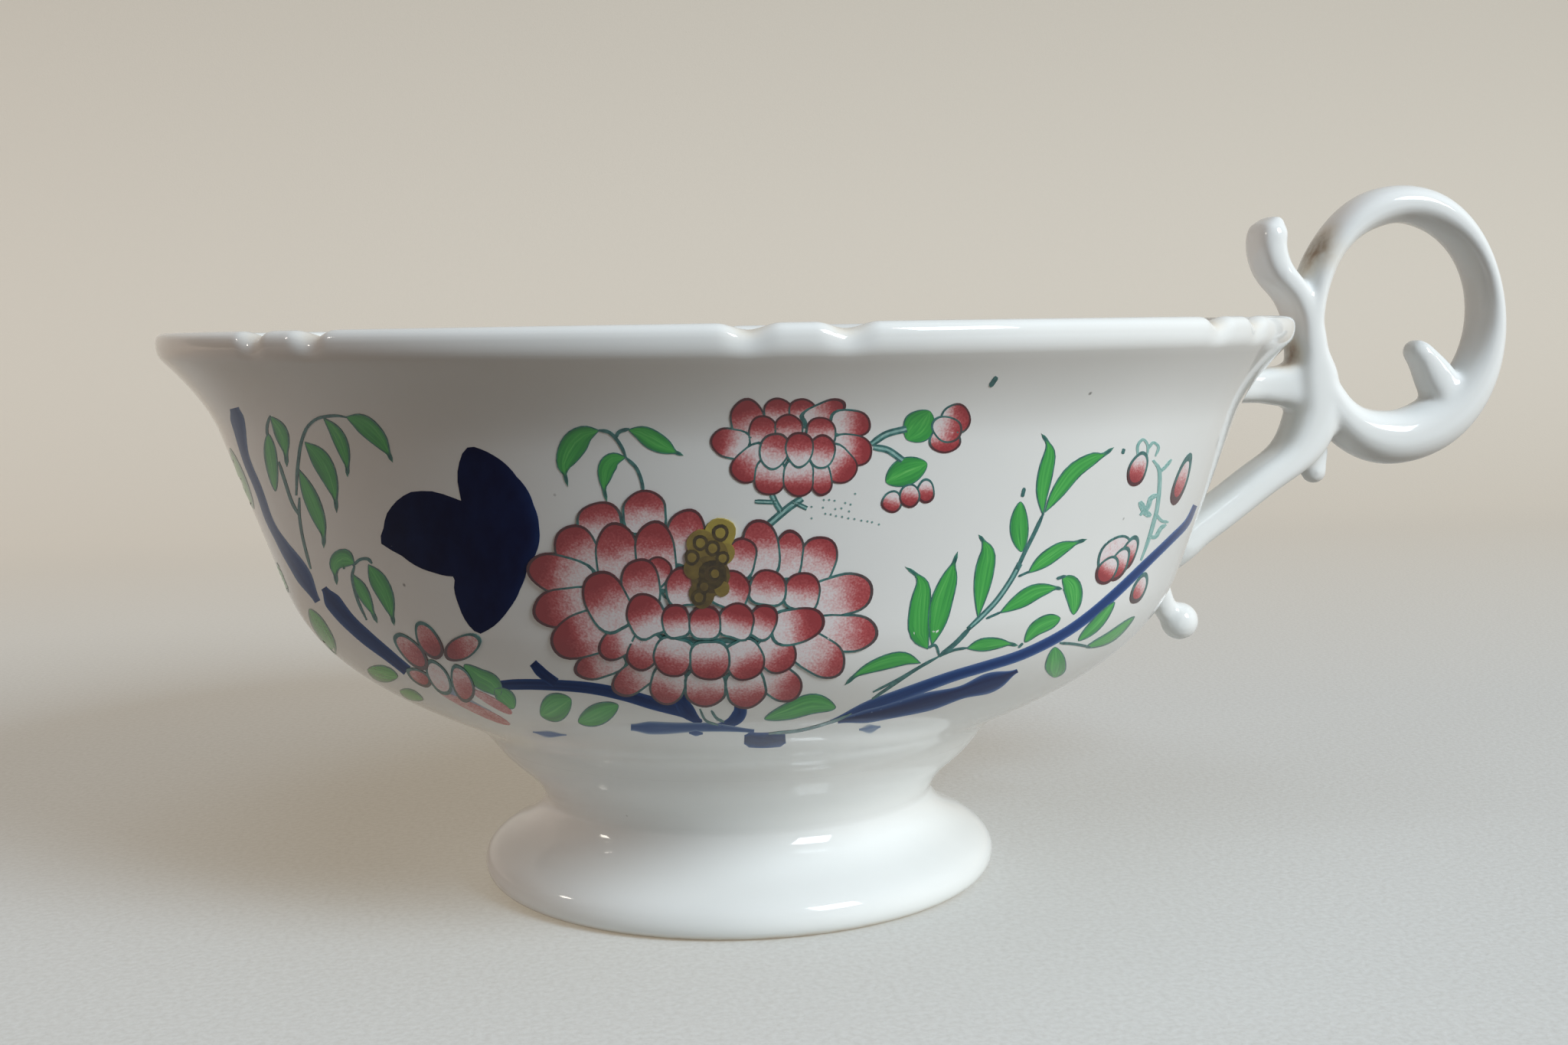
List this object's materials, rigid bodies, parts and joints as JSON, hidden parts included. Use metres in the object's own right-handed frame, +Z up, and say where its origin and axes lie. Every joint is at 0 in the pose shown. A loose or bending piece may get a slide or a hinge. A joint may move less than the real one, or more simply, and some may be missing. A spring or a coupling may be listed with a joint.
{
  "type": "footed porcelain cup",
  "caption": "Low wide glazed porcelain cup with a flared, dented rim, a pedestal foot and a scrolled strap handle whose finger ring stands above the rim.",
  "frame": {"origin": "bottom centre of the cup's own box, on the table under the cup", "axes": "+X towards the handle, +Z up"},
  "size_m": [0.1246, 0.1, 0.0628],
  "materials": {
    "glazed_porcelain": "clear gloss glaze",
    "luting_slip": "dried slip"
  },
  "bodies": {
    "root": {"bowl": "glazed_porcelain", "foot": "glazed_porcelain", "foot_slip": "luting_slip", "handle_scroll": "glazed_porcelain", "finger_ring": "glazed_porcelain", "ring_spur": "glazed_porcelain", "ring_drop": "glazed_porcelain", "upper_lug": "glazed_porcelain", "upper_slip_pad": "luting_slip", "lower_slip_pad": "luting_slip"}
  },
  "joints": []
}
